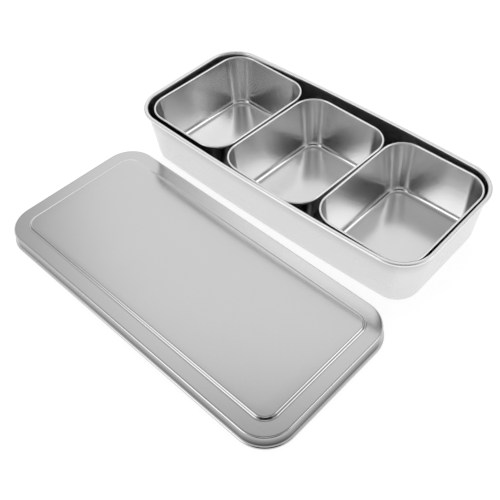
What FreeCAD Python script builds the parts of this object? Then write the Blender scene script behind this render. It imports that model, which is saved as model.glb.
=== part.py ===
# Spice box of pressed stainless steel: an open outer box, three loose cups in it and a lid laid in front.
# Millimetres, +Z up. X runs along the box, Y across it, and the origin is the centre of the box's underside.
import FreeCAD, Part
import enum
import math
import os
import Sketcher

# Driving sizes, in millimetres, with turns in degrees
SIZES = {
    # Outer box: its size is taken over the rolled rim, with the width at the middle of the bowed long sides
    "box_length": "270",
    "box_width": "123.4",
    "box_height": "50.7",
    "box_corner": "27.2",
    "side_bow": "2.2",
    "box_lean": "6.1",
    "box_sheet": "0.8",
    "box_base_round": "9.2",
    "rim_reach": "2.4",
    "rim_depth": "2.4",
    "rim_round": "1.1",
    # Cups: what the gaps leave of the box's inside, shared by three
    "left_gap": "4.9",
    "right_gap": "2.2",
    "between_gap": "1.75",
    "side_gap": "5.7",
    "rim_drop": "2.1",
    "cup_corner": "19.8",
    "cup_lean": "5.4",
    "cup_sheet": "0.6",
    "cup_base_round": "7.4",
    "cup_floor_rise": "2.7",
    "cup_floor_round": "4.7",
    "foot_width": "0.4",
    "foot_lean": "1.5",
    "bead_reach": "1",
    "bead_depth": "1.6",
    "bead_round": "0.7",
    # How each cup was set down: its shift across the box, and its turn, clockwise from above
    "left_cup_shift": "1.5",
    "left_cup_turn": "1.5",
    "middle_cup_shift": "-3.4",
    "middle_cup_turn": "1.95",
    "right_cup_shift": "-1.1",
    "right_cup_turn": "0.35",
    # Lid: it goes over the rim with a clearance, and has a raised panel and a lip round its foot
    "lid_clearance": "0.4",
    "lid_sheet": "0.7",
    "lid_height": "11.8",
    "lid_corner": "23.7",
    "lid_edge_round": "1.6",
    "lip_reach": "1.2",
    "lip_depth": "2",
    "lip_round": "0.9",
    "panel_inset": "11.5",
    "panel_corner": "12",
    "panel_step": "2",
    "panel_rise": "1.5",
    # How the lid was laid down in front of the box
    "lid_spacing": "0.4",
    "lid_shift": "-4.4",
    "lid_turn": "1.2",
}

# Formulas in size names, with every word and sign set apart by spaces
WALL_INSET = "( rim_reach + box_sheet )"
MOUTH_LENGTH = f"( box_length - 2 * {WALL_INSET} )"
END_WIDTH = f"( box_width - 2 * side_bow - 2 * {WALL_INSET} )"
CUP_LENGTH = f"( ( {MOUTH_LENGTH} - left_gap - right_gap - 2 * between_gap ) / 3 )"
CUP_WIDTH = f"( {END_WIDTH} - side_gap )"
CUP_HEIGHT = "( box_height - box_sheet - rim_drop )"
LEFT_CUP_PLACE = f"( {CUP_LENGTH} / 2 + left_gap - {MOUTH_LENGTH} / 2 )"
CUP_PITCH = f"( {CUP_LENGTH} + between_gap )"
LID_GROWTH = "( 2 * ( lid_clearance + lid_sheet + lip_reach ) )"
LID_LENGTH = f"( box_length + {LID_GROWTH} )"
LID_WIDTH = f"( box_width + {LID_GROWTH} )"
LID_PLACE = f"( 0 - box_width / 2 - {LID_WIDTH} / 2 - lid_spacing )"
LID_CEILING = "( lid_height - lid_sheet )"
PANEL_INSET = "( lip_reach + panel_inset )"

# Most of a rolled edge's depth that one of its two fillets may take
EDGE_SHARE = 0.46

UP = FreeCAD.Vector(0, 0, 1)
CLOCKWISE = FreeCAD.Vector(0, 0, -1)
LEVEL_TOLERANCE = 1e-4
LEAST_CUT = 1


class Point(enum.IntEnum):
    """Which point of a line or an arc a sketch's constraint holds."""

    START = 1
    END = 2
    CENTRE = 3


ORIGIN_POINT = (-1, Point.START)
Y_AXIS = -2


def sized(formula):
    """Writes a formula in size names as an expression on the sheet's cells."""
    return " ".join(f"Sizes.{word}" if word in SIZES else word for word in formula.split())


def value_of(formula):
    """The number that a formula gives with the sheet's present sizes."""
    return float(sheet.evalExpression(sized(formula)))


def make_sheet():
    """Puts every driving size in a cell of its own, named by its alias."""
    cells = doc.addObject("Spreadsheet::Sheet", "Sizes")
    for row, (alias, value) in enumerate(SIZES.items(), start=1):
        cells.set(f"A{row}", alias)
        cells.set(f"B{row}", value)
        cells.setAlias(f"B{row}", alias)
    doc.recompute()
    return cells


class Outline:
    """A rounded rectangle about the body's own axis, held as formulas, that can be drawn at any inset.

    With a bow, the long sides are arcs of one large radius that meet the corners smoothly. An inset draws
    every arc smaller about the same centre, so that walls keep an even thickness.
    """

    def __init__(self, length, width, corner, bow=None):
        self.length = length
        self.width = width
        self.corner = corner
        self.bow = bow

    def side_radius(self):
        """Radius of a bowed side, from the bow and half the chord between the corners' centres."""
        chord = f"( {self.length} / 2 - {self.corner} )"
        return f"( ( {chord} ^ 2 + {self.bow} ^ 2 ) / ( 2 * {self.bow} ) )"

    def side_centre(self):
        """How far a bowed side's centre lies past the middle."""
        return f"( {self.side_radius()} - {self.width} / 2 )"


def start_sketch(body, name, level):
    """Starts a level sketch of the body at a height."""
    sketch = body.newObject("Sketcher::SketchObject", name)
    plane = next(item for item in body.Origin.OriginFeatures if item.Role == "XY_Plane")
    sketch.AttachmentSupport = [(plane, "")]
    sketch.MapMode = "FlatFace"
    sketch.setExpression("AttachmentOffset.Base.z", sized(level))
    return sketch


def arc_about(x, y, radius, first, last):
    """An arc about a centre, anticlockwise from the first angle to the last."""
    return Part.ArcOfCircle(Part.Circle(FreeCAD.Vector(x, y, 0), UP, radius), first, last)


def draw_outline(body, name, outline, inset, level):
    """Draws the outline at an inset and a height, as a fully constrained sketch."""
    sketch = start_sketch(body, name, level)
    length = f"( {outline.length} - 2 * {inset} )"
    width = f"( {outline.width} - 2 * {inset} )"
    corner = f"( {outline.corner} - {inset} )"
    half_length = value_of(length) / 2
    radius = value_of(corner)
    x = half_length - radius
    if outline.bow:
        side = f"( {outline.side_radius()} - {inset} )"
        side_radius = value_of(side)
        centre = value_of(outline.side_centre())
        y = math.sqrt((side_radius - radius) ** 2 - x ** 2) - centre
        turn = math.atan2(y + centre, x)
        back = arc_about(0, -centre, side_radius, turn, math.pi - turn)
        front = arc_about(0, centre, side_radius, math.pi + turn, 2 * math.pi - turn)
    else:
        y = value_of(width) / 2 - radius
        turn = math.pi / 2
        back = Part.LineSegment(FreeCAD.Vector(x, y + radius, 0), FreeCAD.Vector(-x, y + radius, 0))
        front = Part.LineSegment(FreeCAD.Vector(-x, -y - radius, 0), FreeCAD.Vector(x, -y - radius, 0))
    right = Part.LineSegment(FreeCAD.Vector(half_length, -y, 0), FreeCAD.Vector(half_length, y, 0))
    left = Part.LineSegment(FreeCAD.Vector(-half_length, y, 0), FreeCAD.Vector(-half_length, -y, 0))

    right_side = sketch.addGeometry(right)
    first_corner = sketch.addGeometry(arc_about(x, y, radius, 0, turn))
    back_side = sketch.addGeometry(back)
    sketch.addGeometry(arc_about(-x, y, radius, math.pi - turn, math.pi))
    left_side = sketch.addGeometry(left)
    third_corner = sketch.addGeometry(arc_about(-x, -y, radius, math.pi, math.pi + turn))
    front_side = sketch.addGeometry(front)
    last_corner = sketch.addGeometry(arc_about(x, -y, radius, 2 * math.pi - turn, 2 * math.pi))

    def hold(*terms):
        return sketch.addConstraint(Sketcher.Constraint(*terms))

    def measure(label, formula, *terms):
        index = hold(*terms, value_of(formula))
        sketch.renameConstraint(index, label)
        sketch.setExpression(f"Constraints.{label}", sized(formula))

    count = sketch.GeometryCount
    for index in range(count):
        hold("Tangent", index, Point.END, (index + 1) % count, Point.START)
    for index in range(first_corner + 2, last_corner + 1, 2):
        hold("Equal", first_corner, index)
    hold("Vertical", right_side)
    hold("Vertical", left_side)
    hold("Symmetric", first_corner, Point.CENTRE, third_corner, Point.CENTRE, *ORIGIN_POINT)
    measure("corner", corner, "Radius", first_corner)
    measure("length", length, "DistanceX", left_side, Point.END, right_side, Point.START)
    if outline.bow:
        hold("PointOnObject", back_side, Point.CENTRE, Y_AXIS)
        hold("PointOnObject", front_side, Point.CENTRE, Y_AXIS)
        hold("Equal", back_side, front_side)
        measure("side", side, "Radius", back_side)
        measure("centre", outline.side_centre(), "DistanceY", back_side, Point.CENTRE, *ORIGIN_POINT)
    else:
        hold("Horizontal", back_side)
        hold("Horizontal", front_side)
        measure("width", width, "DistanceY", front_side, Point.END, back_side, Point.START)
    doc.recompute()
    if not sketch.FullyConstrained:
        raise RuntimeError(f"{body.Label}: sketch {name} is not fully constrained")
    return sketch


def raise_from(body, name, sketch, height, slope=None):
    """Adds the sketch's area, raised to a height, with walls that lean by a slope."""
    pad = body.newObject("PartDesign::Pad", name)
    pad.Profile = sketch
    pad.setExpression("Length", sized(height))
    if slope:
        pad.setExpression("TaperAngle", sized(slope))
    doc.recompute()
    return pad


def sink_from(body, name, sketch, depth, slope=None, upward=False):
    """Cuts the sketch's area to a depth, and stops if it took nothing away."""
    before = body.Shape.Volume
    pocket = body.newObject("PartDesign::Pocket", name)
    pocket.Profile = sketch
    pocket.Reversed = upward
    pocket.setExpression("Length", sized(depth))
    if slope:
        pocket.setExpression("TaperAngle", sized(slope))
    doc.recompute()
    if body.Shape.Volume > before - LEAST_CUT:
        raise RuntimeError(f"{body.Label}: {name} cut nothing")
    return pocket


def lies_at(edge, level):
    """Whether an edge lies flat at a height."""
    middle = edge.valueAt((edge.FirstParameter + edge.LastParameter) / 2)
    heights = [vertex.Z for vertex in edge.Vertexes] + [middle.z]
    return all(abs(height - level) < LEVEL_TOLERANCE for height in heights)


def round_edges(body, name, feature, levels, radius):
    """Rounds every edge of a feature that lies flat at one of the heights."""
    heights = [value_of(level) for level in levels]
    edges = []
    for index, edge in enumerate(feature.Shape.Edges, start=1):
        if any(lies_at(edge, height) for height in heights):
            edges.append(f"Edge{index}")
    fillet = body.newObject("PartDesign::Fillet", name)
    fillet.Base = (feature, edges)
    fillet.setExpression("Radius", sized(radius))
    doc.recompute()
    return fillet


def rolled(radius, depth):
    """A rolled edge's fillet, kept within its share of the edge's depth."""
    return f"min( {radius} ; {EDGE_SHARE} * {depth} )"


def press_pan(label, outline, height, names, foot=None):
    """An open pan with leaning walls, a rounded base and a rolled rim: the rim, the block, then the hollow.

    With a foot, the floor is pressed up, and the pan stands on the ring that is left round it.
    """
    lean, wall, base_round, reach, depth, edge_round = names
    floor_level = wall
    floor_round = f"( {base_round} - {wall} )"
    if foot:
        rise, floor_round, foot_width, foot_lean = foot
        floor_level = f"( {wall} + {rise} )"
    slope = f"atan( {lean} / {height} )"
    body = doc.addObject("PartDesign::Body", label)
    body.Label = label
    rim_foot = f"( {height} - {depth} )"
    rim_sketch = draw_outline(body, f"{label}_rim_outline", outline, "0", rim_foot)
    rim = raise_from(body, f"{label}_rim", rim_sketch, depth)
    round_edges(body, f"{label}_rim_round", rim, [rim_foot, height], rolled(edge_round, depth))
    base_sketch = draw_outline(body, f"{label}_base_outline", outline, f"( {reach} + {lean} )", "0")
    raise_from(body, f"{label}_block", base_sketch, height, slope)
    mouth_sketch = draw_outline(body, f"{label}_mouth_outline", outline, f"( {reach} + {wall} )", height)
    hollow = sink_from(body, f"{label}_hollow", mouth_sketch, f"( {height} - {floor_level} )", f"-1 * {slope}")
    floor = round_edges(body, f"{label}_floor_round", hollow, [floor_level], floor_round)
    round_edges(body, f"{label}_base_round", floor, ["0"], base_round)
    if foot:
        inset = f"( {reach} + {lean} + {base_round} + {foot_width} )"
        foot_sketch = draw_outline(body, f"{label}_foot_outline", outline, inset, "0")
        foot_slope = f"-1 * atan( {foot_lean} / {rise} )"
        sink_from(body, f"{label}_under_floor", foot_sketch, rise, foot_slope, upward=True)
    return body


def press_lid():
    """The lid: a lip round its foot, a skirt and top, a raised panel, and the hollow under both."""
    outline = Outline(LID_LENGTH, LID_WIDTH, "lid_corner")
    slope = "atan( panel_step / panel_rise )"
    label = "lid"
    body = doc.addObject("PartDesign::Body", label)
    body.Label = label
    lip = raise_from(body, "lid_lip", draw_outline(body, "lid_lip_outline", outline, "0", "0"), "lip_depth")
    round_edges(body, "lid_lip_round", lip, ["0", "lip_depth"], rolled("lip_round", "lip_depth"))
    skirt_sketch = draw_outline(body, "lid_skirt_outline", outline, "lip_reach", "0")
    skirt = raise_from(body, "lid_skirt", skirt_sketch, "lid_height")
    round_edges(body, "lid_edge_round_over", skirt, ["lid_height"], "lid_edge_round")
    panel = Outline(
        f"( {LID_LENGTH} - 2 * {PANEL_INSET} )",
        f"( {LID_WIDTH} - 2 * {PANEL_INSET} )",
        "panel_corner",
    )
    panel_sketch = draw_outline(body, "lid_panel_outline", panel, "0", "lid_height")
    raise_from(body, "lid_panel", panel_sketch, "panel_rise", f"-1 * {slope}")
    hollow_sketch = draw_outline(body, "lid_hollow_outline", outline, "( lip_reach + lid_sheet )", "0")
    hollow = sink_from(body, "lid_hollow", hollow_sketch, LID_CEILING, upward=True)
    inner_round = "max( lid_edge_round - lid_sheet ; lid_sheet / 4 )"
    round_edges(body, "lid_inner_round", hollow, [LID_CEILING], inner_round)
    under_sketch = draw_outline(body, "lid_under_outline", panel, "lid_sheet", LID_CEILING)
    sink_from(body, "lid_under_panel", under_sketch, "panel_rise", f"-1 * {slope}", upward=True)
    return body


def set_down(body, x, y, z, turn):
    """Places a body, turned clockwise from above, with every number bound to the sheet."""
    body.Placement = FreeCAD.Placement(FreeCAD.Vector(), FreeCAD.Rotation(CLOCKWISE, value_of(turn)))
    body.setExpression("Placement.Base.x", sized(x))
    body.setExpression("Placement.Base.y", sized(y))
    body.setExpression("Placement.Base.z", sized(z))
    body.setExpression("Placement.Rotation.Angle", sized(turn))
    doc.recompute()


def check_and_write(bodies):
    """Stops if anything failed to build, and otherwise writes each piece to its own file."""
    doc.recompute()
    for item in doc.Objects:
        if "Invalid" in item.State or "Error" in item.State:
            raise RuntimeError(f"{item.Label} did not build: {item.State}")
    for body in bodies:
        if body.Shape.isNull() or not body.Shape.isValid() or len(body.Shape.Solids) != 1:
            raise RuntimeError(f"{body.Label} is not one valid solid")
    os.makedirs("parts", exist_ok=True)
    for body in bodies:
        body.Shape.exportStep(f"parts/{body.Label}.step")
        box = body.Shape.BoundBox
        print(f"{body.Label}: {box.XLength:.2f} x {box.YLength:.2f} x {box.ZLength:.2f} mm,", end=" ")
        print(f"volume {body.Shape.Volume:.1f}")


doc = FreeCAD.newDocument("spice_box")
sheet = make_sheet()

box_outline = Outline("box_length", "box_width", "box_corner", "side_bow")
box_names = ("box_lean", "box_sheet", "box_base_round", "rim_reach", "rim_depth", "rim_round")
pieces = [press_pan("outer_box", box_outline, "box_height", box_names)]

cup_outline = Outline(CUP_LENGTH, CUP_WIDTH, "cup_corner")
cup_names = ("cup_lean", "cup_sheet", "cup_base_round", "bead_reach", "bead_depth", "bead_round")
cup_foot = ("cup_floor_rise", "cup_floor_round", "foot_width", "foot_lean")
for place, label in enumerate(("left_cup", "middle_cup", "right_cup")):
    cup = press_pan(label, cup_outline, CUP_HEIGHT, cup_names, cup_foot)
    along = f"{LEFT_CUP_PLACE} + {place} * {CUP_PITCH}"
    set_down(cup, along, f"{label}_shift", "box_sheet", f"{label}_turn")
    pieces.append(cup)

lid = press_lid()
set_down(lid, "lid_shift", LID_PLACE, "0", "lid_turn")
pieces.append(lid)

check_and_write(pieces)
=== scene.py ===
import math
import bpy
import numpy as np
from bpy.props import FloatProperty, FloatVectorProperty, IntProperty, PointerProperty
from mathutils import Matrix, Vector


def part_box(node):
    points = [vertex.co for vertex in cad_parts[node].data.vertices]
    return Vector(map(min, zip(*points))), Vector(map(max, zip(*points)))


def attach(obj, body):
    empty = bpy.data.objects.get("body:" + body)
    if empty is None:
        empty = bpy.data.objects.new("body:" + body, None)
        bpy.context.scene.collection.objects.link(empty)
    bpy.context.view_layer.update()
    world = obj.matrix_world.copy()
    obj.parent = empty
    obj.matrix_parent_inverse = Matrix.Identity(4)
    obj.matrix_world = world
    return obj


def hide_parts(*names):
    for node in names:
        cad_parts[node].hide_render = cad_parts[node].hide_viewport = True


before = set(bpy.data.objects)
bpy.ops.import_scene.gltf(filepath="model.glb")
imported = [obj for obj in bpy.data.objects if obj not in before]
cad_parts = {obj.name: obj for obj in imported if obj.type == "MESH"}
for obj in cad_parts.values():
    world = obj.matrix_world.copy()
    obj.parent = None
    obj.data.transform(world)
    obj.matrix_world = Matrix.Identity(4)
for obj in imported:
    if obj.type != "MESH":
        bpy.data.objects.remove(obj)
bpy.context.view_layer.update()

bl_info = {
    "name": "Spice box",
    "version": (1, 0, 0),
    "blender": (4, 5, 0),
    "location": "3D View > Sidebar > Spice box",
    "description": "Smooth pressed-steel pieces of a spice box: outer box, three cups and lid",
    "category": "Object",
}

MM = 0.001
QUARTER = math.pi / 2
BOX_LOW, BOX_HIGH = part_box("outer_box")
CUPS = ("left_cup", "middle_cup", "right_cup")
WHITE = (1.0, 1.0, 1.0, 1.0)

# Steps along each straight stretch of a profile
STRAIGHT_STEPS = 8

# Satin grain: scales of its lines and smudges, and how far they change roughness, tone and height
GRAIN_SCALE = (40.0, 1800.0, 1800.0)
SMUDGE_SCALE = 35.0
NOISE_DETAIL = 3.0
ROUGHNESS_SPREAD = 0.02
GRAIN_TONES = (0.97, 1.02)
BUMP_STRENGTH = 0.03
BUMP_DISTANCE = 0.02 * MM

# Studio surround: its tone, and a glow near the horizon (tone added, full below, gone above)
STUDIO_BASE = 0.5
HORIZON = (0.45, 6.0, 30.0)
# Lights: azimuth (front to right), elevation, full within, gone beyond, in degrees, and tone added
STUDIO_LIGHTS = (
    (129.0, 43.0, 8.0, 20.0, 1.25),
    (334.0, 33.0, 9.0, 22.0, 1.35),
    (222.0, 44.0, 15.0, 24.0, 0.44),
    (42.0, 60.0, 8.0, 18.0, 0.45),
)
# Shades: the same, with the share of the tone that is left
STUDIO_SHADES = (
    (28.0, 38.0, 12.0, 22.0, 0.1),
    (60.0, 38.0, 12.0, 22.0, 0.1),
    (0.0, 90.0, 12.0, 34.0, 0.5),
)

# Stage: divisions of the surround and the floor, the lamp overhead, and the nearest point seen
SURROUND_STEPS = 144
SURROUND_RINGS = 48
FLOOR_STEPS = 96
LAMP_SIZE = 1.2
LAMP_PLACE = (-0.3, 0.3, 1.6)
CLIP_START = 10 * MM


def length(name, description, millimetres):
    """A size in metres, written in millimetres."""
    return FloatProperty(
        name=name,
        description=description,
        default=millimetres * MM,
        unit="LENGTH",
        subtype="DISTANCE",
        precision=4,
    )


def angle(name, description, degrees):
    """A turn in radians, written in degrees."""
    return FloatProperty(
        name=name,
        description=description,
        default=math.radians(degrees),
        unit="ROTATION",
        subtype="ANGLE",
    )


def share(name, description, value):
    """A number from nought to one."""
    return FloatProperty(
        name=name,
        description=description,
        default=value,
        min=0.0,
        max=1.0,
        subtype="FACTOR",
    )


def colour(name, description, value):
    """A linear colour."""
    return FloatVectorProperty(
        name=name,
        description=description,
        default=value,
        size=3,
        min=0.0,
        max=1.0,
        subtype="COLOR",
    )


def count(name, description, value):
    """A number of steps."""
    return IntProperty(name=name, description=description, default=value, min=2)


class BoxSizes(bpy.types.PropertyGroup):
    """Sizes of the outer box."""

    length: length("Length", "Length over the rim", (BOX_HIGH.x - BOX_LOW.x) / MM)
    width: length("Width", "Width over the rim at the middle", (BOX_HIGH.y - BOX_LOW.y) / MM)
    height: length("Height", "Height of the rim", (BOX_HIGH.z - BOX_LOW.z) / MM)
    corner: length("Corner", "Corner radius of the rim seen from above", 27.2)
    bow: length("Bow", "How far each long side bows out", 2.2)
    lean: length("Lean", "How far the wall leans in from rim to base", 6.1)
    sheet: length("Sheet", "Thickness of the steel", 0.8)
    base_round: length("Base round", "Radius of the base edge", 9.2)
    floor_rise: length("Floor rise", "How far the floor is pressed up", 0.0)
    floor_round: length("Floor round", "Radius between wall and floor", 8.4)
    foot_width: length("Foot width", "Flat of the foot ring past the base edge", 0.0)
    foot_lean: length("Foot lean", "Width of the slope inside the foot ring", 0.0)
    reach: length("Rim reach", "How far the rim stands out from the wall", 2.4)
    depth: length("Rim depth", "Height of the rolled rim", 2.4)
    inner_round: length("Rim inner round", "Radius of the rim's inner edge", 1.1)
    crown: length("Crown", "Rise of the floor's middle", 0.1)
    # Painted highlight on the rim, and painted shade on the wall under it
    rim_highlight: share("Rim shine", "How strong the painted highlight on the rim is", 0.22)
    rim_shade: share("Rim shade", "How much shade is painted on the wall just under the rim", 0.28)
    shade_height: length("Shade height", "Height over which that painted shade fades", 7.0)


class CupSizes(bpy.types.PropertyGroup):
    """Sizes of the three like cups, and how each is turned."""

    length: length("Length", "Size along the box, over the bead", 84.333)
    width: length("Width", "Size across the box, over the bead", 106.9)
    height: length("Height", "Height of the bead above the base", 47.8)
    corner: length("Corner", "Corner radius of the bead seen from above", 19.8)
    lean: length("Lean", "How far the wall leans in from bead to base", 5.4)
    sheet: length("Sheet", "Thickness of the steel", 0.6)
    base_round: length("Base round", "Radius of the base edge", 7.4)
    floor_rise: length("Floor rise", "How far the floor is pressed up", 2.7)
    floor_round: length("Floor round", "Radius between wall and floor", 4.7)
    foot_width: length("Foot width", "Flat of the foot ring past the base edge", 0.4)
    foot_lean: length("Foot lean", "Width of the slope inside the foot ring", 1.5)
    reach: length("Bead reach", "How far the bead stands out from the wall", 1.0)
    depth: length("Bead depth", "Height of the rolled bead", 1.6)
    inner_round: length("Bead inner round", "Radius of the bead's inner edge", 0.8)
    crown: length("Crown", "Rise of the floor's middle", 0.2)
    # Painted highlight on the bead, and painted shade on the wall under it
    rim_highlight: share("Bead shine", "How strong the painted highlight on the bead is", 0.25)
    rim_shade: share("Bead shade", "How much shade is painted on the wall just under the bead", 0.1)
    shade_height: length("Shade height", "Height over which that painted shade fades", 3.0)
    left_turn: angle("Left turn", "Clockwise turn of the left cup seen from above", 1.5)
    middle_turn: angle("Middle turn", "Clockwise turn of the middle cup seen from above", 1.95)
    right_turn: angle("Right turn", "Clockwise turn of the right cup seen from above", 0.35)


class LidSizes(bpy.types.PropertyGroup):
    """Sizes of the lid, and how it lies."""

    length: length("Length", "Length over the lip", 274.6)
    width: length("Width", "Width over the lip", 128.0)
    height: length("Height", "Height of the border round the panel", 11.8)
    corner: length("Corner", "Corner radius of the lip seen from above", 23.7)
    sheet: length("Sheet", "Thickness of the steel", 0.7)
    edge_round: length("Edge round", "Radius of the top edge", 1.6)
    reach: length("Lip reach", "How far the lip stands out from the skirt", 1.2)
    depth: length("Lip depth", "Height of the lip", 2.0)
    lip_round: length("Lip hollow", "Radius of the hollow between lip and skirt", 1.5)
    panel_inset: length("Panel inset", "From the skirt to the panel's lower edge", 11.5)
    step: length("Panel step", "Width of the slope up to the panel", 2.0)
    rise: length("Panel rise", "Height of the panel above the border", 1.5)
    step_round: length("Step round", "Radius of both bends of the slope", 1.8)
    turn: angle("Turn", "Clockwise turn seen from above", 1.2)
    # Painted shade on the skirt, in the hollow and on the panel's slope, and a painted highlight on the
    # slope's bends
    shade_level: length("Shade level", "Level at which the skirt's painted shade is darkest", 3.9)
    shade_half_height: length("Shade half height", "Half height of the dark hollow", 1.4)
    skirt_shade: share("Skirt shade", "How much shade is painted on the skirt towards the lip", 0.9)
    hollow_shade: share("Hollow shade", "Painted shade added in the hollow above the lip", 0.1)
    slope_width: length("Slope width", "Half width of the band of painted shade on the panel's slope", 0.4)
    slope_shade: share("Slope shade", "How much shade is painted on the panel's slope", 0.7)
    bend_highlight: share("Bend shine", "How strong the painted highlight on the bends of the slope is", 0.2)


class SteelLooks(bpy.types.PropertyGroup):
    """Colours and finish of the steel."""

    box_colour: colour("Box steel", "Colour of the outer box", (0.74, 0.74, 0.74))
    cup_colour: colour("Cup steel", "Colour of the cups", (0.76, 0.76, 0.76))
    lid_colour: colour("Lid steel", "Colour of the lid", (0.65, 0.65, 0.65))
    box_roughness: share("Box roughness", "Roughness of the outer box", 0.28)
    cup_roughness: share("Cup roughness", "Roughness of the cups", 0.2)
    lid_roughness: share("Lid roughness", "Roughness of the lid", 0.16)


class MeshSteps(bpy.types.PropertyGroup):
    """How finely the pieces are divided."""

    corner: count("Corner steps", "Steps round each corner seen from above", 32)
    side: count("Side steps", "Steps along half of each side", 16)
    bend: count("Bend steps", "Steps round each bend of the profile", 10)
    flat: count("Flat steps", "Steps across half of each flat", 12)


class StageSettings(bpy.types.PropertyGroup):
    """Camera, floor and light."""

    lens: FloatProperty(
        name="Lens",
        description="Focal length",
        default=55.41,
        unit="CAMERA",
        subtype="DISTANCE_CAMERA",
    )
    azimuth: angle("Azimuth", "Where the camera stands, from the front towards the right", 42.023)
    elevation: angle("Elevation", "How high the camera stands", 44.959)
    roll: angle("Roll", "Turn of the camera about its own axis", -1.053)
    distance: length("Distance", "From the camera to its target", 604.0)
    target: FloatVectorProperty(
        name="Target",
        description="Point on the floor that the camera's axis goes through",
        default=(-4.68 * MM, -22.93 * MM, 0.0),
        unit="LENGTH",
        subtype="XYZ",
    )
    shift: FloatVectorProperty(
        name="Shift",
        description="Shift of the picture",
        default=(-0.0680, -0.0939),
        size=2,
    )
    radius: length("Studio radius", "Radius of the floor and of the studio surround", 4000.0)
    floor_colour: colour("Floor", "Colour of the floor", (0.3, 0.3, 0.3))
    floor_glow: share("Floor glow", "Even light added to the floor", 0.8)
    sky: share("Sky", "Brightness of the world as a light", 0.75)
    lamp_power: FloatProperty(
        name="Lamp power",
        description="Power of the overhead lamp",
        default=6.0,
        unit="POWER",
        subtype="POWER",
    )


def outline(size, steps, bow=0.0):
    """A rounded rectangle seen from above, and its outward normals.

    Anticlockwise from the middle of the right side. The quarter is half of a straight end, a
    corner arc, and half of a long side, which is straight or an arc that bows out. The other
    three are its mirror images.
    """
    reach_x = size.length / 2
    reach_y = size.width / 2
    corner_x = reach_x - size.corner
    if bow:
        side_radius = (corner_x**2 + bow**2) / (2 * bow)
        side_y = reach_y - side_radius
        corner_y = math.sqrt((side_radius - size.corner) ** 2 - corner_x**2) + side_y
        turn = math.atan2(corner_y - side_y, corner_x)
        swing = np.linspace(turn, QUARTER, steps.side + 1)[1:]
        side_normals = np.column_stack([np.cos(swing), np.sin(swing)])
        side_points = side_radius * side_normals + [0.0, side_y]
    else:
        corner_y = reach_y - size.corner
        turn = QUARTER
        along = np.linspace(corner_x, 0.0, steps.side + 1)[1:]
        side_points = np.column_stack([along, np.full_like(along, reach_y)])
        side_normals = np.tile([0.0, 1.0], (steps.side, 1))
    rise = np.linspace(0.0, corner_y, steps.side + 1)[:-1]
    end_points = np.column_stack([np.full_like(rise, reach_x), rise])
    end_normals = np.tile([1.0, 0.0], (steps.side, 1))
    swing = np.linspace(0.0, turn, steps.corner + 1)
    arc_normals = np.column_stack([np.cos(swing), np.sin(swing)])
    arc_points = size.corner * arc_normals + [corner_x, corner_y]
    quarter = np.concatenate([end_points, arc_points, side_points])
    facing = np.concatenate([end_normals, arc_normals, side_normals])
    return all_quarters(quarter), all_quarters(facing)


def all_quarters(quarter):
    """One quarter of a closed line, and its images in both axes, joined end to end."""
    left = quarter[::-1] * [-1.0, 1.0]
    right = quarter[::-1] * [1.0, -1.0]
    return np.concatenate([quarter[:-1], left[:-1], -quarter[:-1], right[:-1]])


def arc(inset, level, radius, first, last, steps):
    """Arc of a profile about a point: no turn points outwards, and a quarter turn points up."""
    turn = np.linspace(first, last, steps + 1)
    return np.column_stack([inset - radius * np.cos(turn), level + radius * np.sin(turn)])


def line(first, last, steps):
    """Straight stretch of a profile, with its rings drawn towards both ends and without those ends."""
    along = (1 - np.cos(np.linspace(0.0, math.pi, steps + 1)[1:-1])) / 2
    return np.asarray(first) + along[:, None] * (np.asarray(last) - np.asarray(first))


def joined(*stretches):
    """Profile stretches end to end, with a straight stretch across each gap."""
    path = [stretches[0]]
    for stretch in stretches[1:]:
        path += [line(path[-1][-1], stretch[0], STRAIGHT_STEPS), stretch]
    return np.concatenate(path)


def pan_profile(size, steps):
    """Inset and level of a pan's skin, from under its base, over the rolled edge, to its floor.

    The wall leans by the same slope inside and out, and a base arc and a floor arc meet it on a
    tangent. The rolled edge is half a circle outside and an arc inside. A base that is pressed up
    starts with the slope and the flat of its foot ring.
    """
    slope = size.lean / size.height
    tilt = math.atan(slope)
    slant = 1 / math.cos(tilt)
    roll = size.depth / 2

    def outer(level):
        return size.reach + slope * (size.height - level)

    def inner(level):
        return outer(level) + size.sheet

    foot_inset = size.reach + size.lean + size.base_round + size.foot_width
    foot = np.array([[foot_inset + size.foot_lean, size.floor_rise], [foot_inset, 0.0]])
    base_inset = outer(size.base_round) + size.base_round * slant
    base = arc(base_inset, size.base_round, size.base_round, -QUARTER, -tilt, steps.bend * 2)
    neck = size.height - size.depth
    wall_top = np.array([[outer(neck), neck]])
    edge = arc(roll, size.height - roll, roll, -QUARTER, QUARTER, steps.bend * 2)
    mouth = size.height - size.inner_round
    lip_inset = inner(mouth) - size.inner_round * slant
    lip = arc(lip_inset, mouth, size.inner_round, QUARTER, 2 * QUARTER - tilt, steps.bend)
    floor_level = size.sheet + size.floor_rise + size.floor_round
    floor_inset = inner(floor_level) + size.floor_round * slant
    floor = arc(floor_inset, floor_level, size.floor_round, -tilt, -QUARTER, steps.bend * 2)
    under = [foot[:1], foot[1:], base] if size.floor_rise else [base]
    return joined(*under, wall_top, edge, lip, floor)


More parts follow.
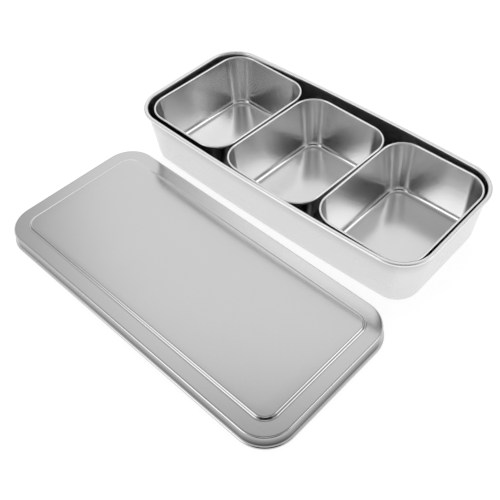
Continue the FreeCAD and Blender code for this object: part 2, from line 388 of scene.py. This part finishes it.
def lid_profile(size, steps):
    """Inset and level of the lid's skin, from under its panel, down inside, over the lip, to the panel.

    Every bend is an arc on a tangent: the two bends of the panel's slope, above and below, the
    inner and outer top edges, the lip's foot and face, and the hollow between lip and skirt.
    """
    slope = math.atan2(size.rise, size.step)
    bend = size.step_round
    trim = bend * math.tan(slope / 2)
    foot = size.reach + size.panel_inset
    head = foot + size.step
    top = size.height + size.rise

    def panel_slope(lift, shift):
        low, high = size.height + bend + lift, top - bend + lift
        lower = arc(foot - trim + shift, low, bend, -QUARTER, -QUARTER - slope, steps.bend)
        upper = arc(head + trim + shift, high, bend, QUARTER - slope, QUARTER, steps.bend)
        return joined(lower, upper)

    under = panel_slope(-size.sheet, size.sheet * math.tan(slope / 2))[::-1]
    inner_round = size.edge_round - size.sheet
    inside = size.reach + size.sheet
    edge_level = size.height - size.edge_round
    inner_edge = arc(inside + inner_round, edge_level, inner_round, QUARTER, 0.0, steps.bend)
    lip = size.depth / 2
    toe = lip / 2
    heel = arc(inside - toe, toe, toe, 2 * QUARTER, 3 * QUARTER, steps.bend)
    hollow = size.lip_round
    hollow_level = lip + math.sqrt((lip + hollow) ** 2 - (hollow + lip - size.reach) ** 2)
    meeting = math.atan2(hollow_level - lip, hollow + lip - size.reach)
    face = arc(lip, lip, lip, -QUARTER, meeting, steps.bend * 2)
    start = meeting + 2 * QUARTER
    cove = arc(size.reach - hollow, hollow_level, hollow, start, 2 * QUARTER, steps.bend)[1:]
    edge_inset = size.reach + size.edge_round
    edge = arc(edge_inset, edge_level, size.edge_round, 0.0, QUARTER, steps.bend)
    outer_lip = np.concatenate([face, cove])
    return joined(under, inner_edge, heel, outer_lip, edge, panel_slope(0.0, 0.0))


def skin(points, normals, profile, flat_steps, crown=0.0):
    """A closed surface of two parameters, along the outline and the profile, with a flat on each end.

    A point is the outline's point moved inwards along its normal by the profile's inset, at the
    profile's level. On the two flats the first and last ring shrink to a point in the middle, and
    the last may rise by a crown.
    """
    shrink = np.linspace(1.0, 0.0, flat_steps + 1)[1:-1]
    inset = np.pad(profile[:, 0], len(shrink), mode="edge")
    scale = np.concatenate([shrink[::-1], np.ones(len(profile)), shrink])
    domed = profile[-1, 1] + crown * (1 - shrink**2)
    level = np.concatenate([np.full_like(shrink, profile[0, 1]), profile[:, 1], domed])
    plan = scale[:, None, None] * (points - inset[:, None, None] * normals)
    heights = np.broadcast_to(level[:, None, None], plan.shape[:2] + (1,))
    rings = np.concatenate([plan, heights], axis=2)
    poles = [[0.0, 0.0, profile[0, 1]], [0.0, 0.0, profile[-1, 1] + crown]]
    return np.concatenate([rings.reshape(-1, 3), poles]), rings.shape[:2]


def ring_quads(ring_count, around):
    """Four-sided faces between neighbouring rings of a surface whose points run ring by ring."""
    ring, step = np.meshgrid(np.arange(ring_count - 1), np.arange(around), indexing="ij")
    near, far = ring * around, (ring + 1) * around
    ahead = (step + 1) % around
    quads = np.stack([near + step, near + ahead, far + ahead, far + step], axis=2)
    return quads.reshape(-1, 4)


def skin_faces(shape):
    """Faces of a skin: four-sided ones between its rings, and a fan of triangles round each pole."""
    ring_count, around = shape
    step = np.arange(around)
    ahead = (step + 1) % around
    last = (ring_count - 1) * around
    first_pole = np.full(around, ring_count * around)
    first_fan = np.stack([first_pole, ahead, step], axis=1)
    last_fan = np.stack([last + step, last + ahead, first_pole + 1], axis=1)
    return ring_quads(ring_count, around).tolist() + first_fan.tolist() + last_fan.tolist()


def set_down(points, turn, centre):
    """Points turned clockwise seen from above and moved to their place."""
    cosine, sine = math.cos(turn), math.sin(turn)
    spun = points @ np.array([[cosine, -sine, 0.0], [sine, cosine, 0.0], [0.0, 0.0, 1.0]])
    return spun + np.asarray(centre)


def lid_painted_shading(size, profile):
    """Painted shade of each ring of the lid, as a share taken off its colour.

    Down the skirt the painted shade grows with the cube root of the depth, as far as a level just above
    the lip, and falls off quickly below that. A bell round that level makes the hollow darkest. Another
    bell of painted shade lies round the middle of the panel's slope, and the slope's two bends get a
    painted highlight, which is a negative share.
    """
    inset, level = profile[:, 0], profile[:, 1]
    skirt_top = size.height - size.edge_round / 3
    depth = np.clip((skirt_top - level) / (skirt_top - size.shade_level), 0.0, 1.0)
    from_hollow = (level - size.shade_level) / size.shade_half_height
    below = np.clip(-from_hollow, 0.0, None)
    outside = inset < size.reach + size.sheet / 2
    from_middle = np.abs(inset - size.reach - size.panel_inset - size.step / 2)
    on_slope = np.exp(-((from_middle / size.slope_width) ** 2))
    on_bends = np.exp(-(((from_middle - size.step / 2) / size.slope_width) ** 2))
    on_top = np.arange(len(profile)) > len(profile) / 2
    # Painted shade down the skirt and in the hollow; painted shade on the slope and a painted highlight
    # on its bends
    skirt = size.skirt_shade * np.cbrt(depth) * np.exp(-(below**2))
    hollow = size.hollow_shade * np.exp(-(from_hollow**2))
    slope = size.slope_shade * on_slope - size.bend_highlight * on_bends
    return (skirt + hollow) * outside + slope * on_top


def rim_painted_shading(size, profile):
    """Painted shade of each ring of a pan, as a share taken off its colour.

    The rim gets a painted highlight, a negative share that is full at its top and nought under it.
    Outside, under the rim, the wall gets painted shade, and this fades downwards as a bell.
    """
    inset, level = profile[:, 0], profile[:, 1]
    under = size.height - size.depth - level
    # Painted highlight on the rim, and painted shade on the outer wall under it
    shine = np.clip(-under / size.depth, 0.0, 1.0)
    wall = size.reach + size.lean * (size.height - level) / size.height
    outside = inset < wall + size.sheet / 2
    shade = np.exp(-((under / size.shade_height) ** 2)) * (under >= 0.0) * outside
    return size.rim_shade * shade - size.rim_highlight * shine


def add_object(name, data):
    """An object at the origin, linked to the scene."""
    item = bpy.data.objects.new(name, data)
    bpy.context.scene.collection.objects.link(item)
    return item


def new_material(name):
    """A new material, and its node tree."""
    material = bpy.data.materials.new(name)
    material.use_nodes = True
    return material, material.node_tree


def make_piece(name, node, points, shape, material, wear):
    """One smooth closed mesh that takes a CAD node's place, with the painted shade and highlight of
    each profile ring.
    """
    mesh = bpy.data.meshes.new(name)
    mesh.from_pydata(points.tolist(), [], skin_faces(shape))
    mesh.polygons.foreach_set("use_smooth", np.ones(len(mesh.polygons), dtype=bool))
    # Painted shade and highlight of each point, from its profile ring, and nought on the flats and
    # poles
    flat_rings = (shape[0] - len(wear)) // 2
    rings = np.pad(wear, flat_rings).repeat(shape[1])
    shading_values = np.concatenate([rings, [0.0, 0.0]]).astype(np.float32)
    mesh.attributes.new("wear", "FLOAT", "POINT").data.foreach_set("value", shading_values)
    mesh.materials.append(material)
    mesh.validate()
    mesh.update()
    piece = add_object(name, mesh)
    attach(piece, node)
    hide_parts(node)
    return piece


def resting_place(node):
    """Middle of a CAD node seen from above, at the level of its underside."""
    low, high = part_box(node)
    return ((low.x + high.x) / 2, (low.y + high.y) / 2, low.z)


def combined(tree, operation, first, second):
    """Result of a Math node on two values, each a number or the output of another node."""
    node = tree.nodes.new("ShaderNodeMath")
    node.operation = operation
    for socket, value in zip(node.inputs, (first, second)):
        if isinstance(value, bpy.types.NodeSocket):
            tree.links.new(value, socket)
        else:
            socket.default_value = value
    return node.outputs["Value"]


def scaled(tree, vector, factor):
    """A colour or vector times a value."""
    node = tree.nodes.new("ShaderNodeVectorMath")
    node.operation = "SCALE"
    tree.links.new(vector, node.inputs[0])
    tree.links.new(factor, node.inputs["Scale"])
    return node.outputs["Vector"]


def ranged(tree, value, low, high):
    """A value from nought to one, moved to lie between two others."""
    node = tree.nodes.new("ShaderNodeMapRange")
    node.inputs["To Min"].default_value = low
    node.inputs["To Max"].default_value = high
    tree.links.new(value, node.inputs["Value"])
    return node.outputs["Result"]


def noise(tree, vector, scale):
    """Soft noise of one scale."""
    node = tree.nodes.new("ShaderNodeTexNoise")
    node.inputs["Scale"].default_value = scale
    node.inputs["Detail"].default_value = NOISE_DETAIL
    tree.links.new(vector, node.inputs["Vector"])
    return node.outputs["Fac"]


def grain_and_shading_group():
    """Shared finish of satin steel: fine lines along the length, soft smudges, and a bump's height.

    The shading attribute of the mesh darkens the colour, painted shade in hollows, on the lid's
    slope and under rims, and below nought brightens it, a painted highlight on rims and bends.
    """
    found = bpy.data.node_groups.get("satin_grain")
    if found:
        return found
    group = bpy.data.node_groups.new("satin_grain", "ShaderNodeTree")
    for name, side, kind in (
        ("Tone", "INPUT", "NodeSocketColor"),
        ("Base roughness", "INPUT", "NodeSocketFloat"),
        ("Color", "OUTPUT", "NodeSocketColor"),
        ("Roughness", "OUTPUT", "NodeSocketFloat"),
        ("Height", "OUTPUT", "NodeSocketFloat"),
    ):
        group.interface.new_socket(name, in_out=side, socket_type=kind)
    given = group.nodes.new("NodeGroupInput")
    result = group.nodes.new("NodeGroupOutput")
    place = group.nodes.new("ShaderNodeTexCoord")
    stretch = group.nodes.new("ShaderNodeMapping")
    stretch.inputs["Scale"].default_value = GRAIN_SCALE
    group.links.new(place.outputs["Object"], stretch.inputs["Vector"])
    lines = noise(group, stretch.outputs["Vector"], 1.0)
    smudges = noise(group, place.outputs["Object"], SMUDGE_SCALE)
    smear = ranged(group, smudges, -ROUGHNESS_SPREAD, ROUGHNESS_SPREAD)
    fine = ranged(group, lines, -ROUGHNESS_SPREAD, ROUGHNESS_SPREAD)
    both = combined(group, "ADD", smear, fine)
    rough = combined(group, "ADD", given.outputs["Base roughness"], both)
    tint = scaled(group, given.outputs["Tone"], ranged(group, lines, *GRAIN_TONES))
    # Painted shade and highlight: the colour is scaled by one less this attribute
    wear = group.nodes.new("ShaderNodeAttribute")
    wear.attribute_name = "wear"
    unshaded_share = combined(group, "SUBTRACT", 1.0, wear.outputs["Fac"])
    group.links.new(scaled(group, tint, unshaded_share), result.inputs["Color"])
    group.links.new(rough, result.inputs["Roughness"])
    group.links.new(lines, result.inputs["Height"])
    return group


def steel(name, tone, roughness):
    """Satin stainless steel of one tone and roughness."""
    material, tree = new_material(name)
    shader = tree.nodes["Principled BSDF"]
    shader.inputs["Metallic"].default_value = 1.0
    # The group's colour carries the satin grain and the painted shade and highlight
    grain = tree.nodes.new("ShaderNodeGroup")
    grain.node_tree = grain_and_shading_group()
    grain.inputs["Tone"].default_value = (*tone, 1.0)
    grain.inputs["Base roughness"].default_value = roughness
    bump = tree.nodes.new("ShaderNodeBump")
    bump.inputs["Strength"].default_value = BUMP_STRENGTH
    bump.inputs["Distance"].default_value = BUMP_DISTANCE
    tree.links.new(grain.outputs["Color"], shader.inputs["Base Color"])
    tree.links.new(grain.outputs["Roughness"], shader.inputs["Roughness"])
    tree.links.new(grain.outputs["Height"], bump.inputs["Height"])
    tree.links.new(bump.outputs["Normal"], shader.inputs["Normal"])
    return material


class BuildOuterBox(bpy.types.Operator):
    """Build the outer box with its rolled rim"""

    bl_idname = "spice_box.build_outer_box"
    bl_label = "Build outer box"

    def execute(self, context):
        scene = context.scene
        size, looks, steps = scene.spice_box_box, scene.spice_box_looks, scene.spice_box_steps
        points, normals = outline(size, steps, size.bow)
        profile = pan_profile(size, steps)
        skin_points, shape = skin(points, normals, profile, steps.flat, size.crown)
        material = steel("box_satin_steel", looks.box_colour, looks.box_roughness)
        # Painted highlight on the rim, and painted shade under it
        wear = rim_painted_shading(size, profile)
        make_piece("outer_box_shell", "outer_box", skin_points, shape, material, wear)
        return {"FINISHED"}


class BuildCups(bpy.types.Operator):
    """Build the three like cups where they stand in the box"""

    bl_idname = "spice_box.build_cups"
    bl_label = "Build cups"

    def execute(self, context):
        scene = context.scene
        size, looks, steps = scene.spice_box_cups, scene.spice_box_looks, scene.spice_box_steps
        points, normals = outline(size, steps)
        profile = pan_profile(size, steps)
        skin_points, shape = skin(points, normals, profile, steps.flat, size.crown)
        material = steel("cup_satin_steel", looks.cup_colour, looks.cup_roughness)
        # Painted highlight on the beads, and painted shade under them
        wear = rim_painted_shading(size, profile)
        for node, turn in zip(CUPS, (size.left_turn, size.middle_turn, size.right_turn)):
            placed = set_down(skin_points, turn, resting_place(node))
            make_piece(node + "_shell", node, placed, shape, material, wear)
        return {"FINISHED"}


class BuildLid(bpy.types.Operator):
    """Build the lid with its raised panel, skirt and lip"""

    bl_idname = "spice_box.build_lid"
    bl_label = "Build lid"

    def execute(self, context):
        scene = context.scene
        size, looks, steps = scene.spice_box_lid, scene.spice_box_looks, scene.spice_box_steps
        points, normals = outline(size, steps)
        profile = lid_profile(size, steps)
        skin_points, shape = skin(points, normals, profile, steps.flat)
        material = steel("lid_satin_steel", looks.lid_colour, looks.lid_roughness)
        placed = set_down(skin_points, size.turn, resting_place("lid"))
        # Painted shade on the skirt, hollow and slope, and a painted highlight on the slope's bends
        wear = lid_painted_shading(size, profile)
        lid = make_piece("lid_shell", "lid", placed, shape, material, wear)
        # The photograph shows no mirror image of the lid in the box's front wall
        lid.visible_glossy = False
        return {"FINISHED"}


def direction(azimuth, elevation):
    """Unit vector towards an azimuth, from the front to the right, and an elevation, in degrees."""
    a, e = math.radians(azimuth), math.radians(elevation)
    return np.array([math.sin(a) * math.cos(e), -math.cos(a) * math.cos(e), math.sin(e)])


def patch(directions, azimuth, elevation, full, gone):
    """One inside a round patch of the sky, nought outside it, and smooth between."""
    away = np.degrees(np.arccos(np.clip(directions @ direction(azimuth, elevation), -1.0, 1.0)))
    fade = np.clip((gone - away) / (gone - full), 0.0, 1.0)
    return fade * fade * (3 - 2 * fade)


def studio_tone(directions):
    """Brightness of the studio surround towards each direction.

    Soft lights and a glow near the horizon are added to a base, and shades then dim them.
    """
    glow, full, gone = HORIZON
    rise = np.degrees(np.arcsin(np.clip(directions[:, 2], -1.0, 1.0)))
    tone = STUDIO_BASE + glow * np.clip((gone - rise) / (gone - full), 0.0, 1.0)
    for azimuth, elevation, full, gone, added in STUDIO_LIGHTS:
        tone = tone + added * patch(directions, azimuth, elevation, full, gone)
    for azimuth, elevation, full, gone, left in STUDIO_SHADES:
        tone = tone * (1 - (1 - left) * patch(directions, azimuth, elevation, full, gone))
    return tone


def make_surround(radius):
    """Half a sphere round the set, seen in reflections alone, with the studio's tones on it.

    Its points lie on rings of equal elevation, with one more at the top.
    """
    rise, turn = np.meshgrid(
        np.linspace(0.0, QUARTER, SURROUND_RINGS, endpoint=False),
        np.linspace(0.0, 4 * QUARTER, SURROUND_STEPS, endpoint=False),
        indexing="ij",
    )
    level = np.cos(rise)
    sides = np.stack([level * np.cos(turn), level * np.sin(turn), np.sin(rise)], axis=2)
    directions = np.concatenate([sides.reshape(-1, 3), [[0.0, 0.0, 1.0]]])
    step = np.arange(SURROUND_STEPS)
    last = (SURROUND_RINGS - 1) * SURROUND_STEPS
    top = np.full(SURROUND_STEPS, SURROUND_RINGS * SURROUND_STEPS)
    fan = np.stack([last + step, top, last + (step + 1) % SURROUND_STEPS], axis=1)
    # Turned over, so that the faces point inwards
    quads = ring_quads(SURROUND_RINGS, SURROUND_STEPS)[:, [0, 3, 2, 1]]
    mesh = bpy.data.meshes.new("studio_surround")
    mesh.from_pydata((directions * radius).tolist(), [], quads.tolist() + fan.tolist())
    tones = studio_tone(directions).astype(np.float32)
    mesh.attributes.new("tone", "FLOAT", "POINT").data.foreach_set("value", tones)
    mesh.update()
    material, tree = new_material("studio_surround")
    tree.nodes.remove(tree.nodes["Principled BSDF"])
    tone = tree.nodes.new("ShaderNodeAttribute")
    tone.attribute_name = "tone"
    glow = tree.nodes.new("ShaderNodeEmission")
    tree.links.new(tone.outputs["Fac"], glow.inputs["Strength"])
    tree.links.new(glow.outputs["Emission"], tree.nodes["Material Output"].inputs["Surface"])
    material.cycles.emission_sampling = "NONE"
    mesh.materials.append(material)
    surround = add_object("studio_surround", mesh)
    surround.visible_camera = False
    surround.visible_diffuse = False
    surround.visible_shadow = False
    surround.visible_transmission = False


def seen_directly(tree):
    """One for camera, mirrored and transmitted rays, which see the studio as it is, else nought."""
    path = tree.nodes.new("ShaderNodeLightPath")
    first = combined(tree, "MAXIMUM", path.outputs["Is Camera Ray"], path.outputs["Is Glossy Ray"])
    return combined(tree, "MAXIMUM", first, path.outputs["Is Transmission Ray"])


def make_floor(stage):
    """A round pale floor with an even glow, so that it is white where nothing shades it."""
    turn = np.linspace(0.0, 4 * QUARTER, FLOOR_STEPS, endpoint=False)
    ring = stage.radius * np.column_stack([np.cos(turn), np.sin(turn), np.zeros_like(turn)])
    mesh = bpy.data.meshes.new("floor")
    mesh.from_pydata(ring.tolist(), [], [list(range(FLOOR_STEPS))])
    material, tree = new_material("pale_floor")
    shader = tree.nodes["Principled BSDF"]
    shader.inputs["Base Color"].default_value = (*stage.floor_colour, 1.0)
    shader.inputs["Roughness"].default_value = 1.0
    shader.inputs["Specular IOR Level"].default_value = 0.0
    shader.inputs["Emission Color"].default_value = WHITE
    glow = combined(tree, "MULTIPLY", seen_directly(tree), stage.floor_glow)
    tree.links.new(glow, shader.inputs["Emission Strength"])
    material.cycles.emission_sampling = "NONE"
    mesh.materials.append(material)
    floor = add_object("floor", mesh)


def make_world(sky):
    """White where it is seen, and a softer light on everything else."""
    world = bpy.data.worlds.new("studio_world")
    bpy.context.scene.world = world
    world.use_nodes = True
    tree = world.node_tree
    backdrop = tree.nodes["Background"]
    backdrop.inputs["Color"].default_value = WHITE
    level = ranged(tree, seen_directly(tree), sky, 1.0)
    tree.links.new(level, backdrop.inputs["Strength"])


def make_camera(stage):
    """The photograph's camera, which looks at its target with a slight roll."""
    a, e, r = stage.azimuth, stage.elevation, stage.roll
    back = Vector((math.sin(a) * math.cos(e), -math.cos(a) * math.cos(e), math.sin(e)))
    right = Vector((math.cos(a), math.sin(a), 0.0))
    up = back.cross(right)
    rolled_right = right * math.cos(r) + up * math.sin(r)
    rolled_up = up * math.cos(r) - right * math.sin(r)
    data = bpy.data.cameras.new("photo_camera")
    data.lens = stage.lens
    data.shift_x, data.shift_y = stage.shift
    data.clip_start = CLIP_START
    camera = add_object("photo_camera", data)
    turned = Matrix((rolled_right, rolled_up, back)).transposed().to_4x4()
    place = Vector(stage.target) + back * stage.distance
    camera.matrix_world = Matrix.Translation(place) @ turned
    bpy.context.scene.camera = camera


def make_lamp(power):
    """A wide soft lamp overhead, whose mirror image the studio surround shows instead."""
    data = bpy.data.lights.new("overhead_lamp", "AREA")
    data.energy = power
    data.size = LAMP_SIZE
    lamp = add_object("overhead_lamp", data)
    lamp.location = LAMP_PLACE
    lamp.rotation_euler = Vector(LAMP_PLACE).to_track_quat("Z", "Y").to_euler()
    lamp.visible_glossy = False


class BuildStage(bpy.types.Operator):
    """Set up the floor, the studio light and the camera"""

    bl_idname = "spice_box.build_stage"
    bl_label = "Build stage"

    def execute(self, context):
        stage = context.scene.spice_box_stage
        make_floor(stage)
        make_world(stage.sky)
        make_surround(stage.radius)
        make_lamp(stage.lamp_power)
        make_camera(stage)
        context.scene.view_settings.view_transform = "Standard"
        return {"FINISHED"}


class SpiceBoxPanel(bpy.types.Panel):
    """Lists the spice box's pieces and their sizes"""

    bl_idname = "VIEW3D_PT_spice_box"
    bl_label = "Spice box"
    bl_space_type = "VIEW_3D"
    bl_region_type = "UI"
    bl_category = "Spice box"

    def draw(self, context):
        for operator in OPERATORS:
            self.layout.operator(operator.bl_idname)
        for name in SETTINGS:
            settings = getattr(context.scene, name)
            column = self.layout.column(heading=settings.bl_rna.name)
            for key in settings.__annotations__:
                column.prop(settings, key)


OPERATORS = (BuildOuterBox, BuildCups, BuildLid, BuildStage)
SETTINGS = {
    "spice_box_box": BoxSizes,
    "spice_box_cups": CupSizes,
    "spice_box_lid": LidSizes,
    "spice_box_looks": SteelLooks,
    "spice_box_steps": MeshSteps,
    "spice_box_stage": StageSettings,
}
CLASSES = (*SETTINGS.values(), *OPERATORS, SpiceBoxPanel)


def register():
    """Register the classes, and put their settings on the scene."""
    for item in CLASSES:
        bpy.utils.register_class(item)
    for name, group in SETTINGS.items():
        setattr(bpy.types.Scene, name, PointerProperty(type=group))


def unregister():
    """Take the settings off the scene, and unregister the classes."""
    for name in SETTINGS:
        delattr(bpy.types.Scene, name)
    for item in reversed(CLASSES):
        bpy.utils.unregister_class(item)


def main():
    """Build the pieces and the stage in order."""
    register()
    bpy.ops.spice_box.build_outer_box()
    bpy.ops.spice_box.build_cups()
    bpy.ops.spice_box.build_lid()
    bpy.ops.spice_box.build_stage()


if __name__ == "__main__":
    main()
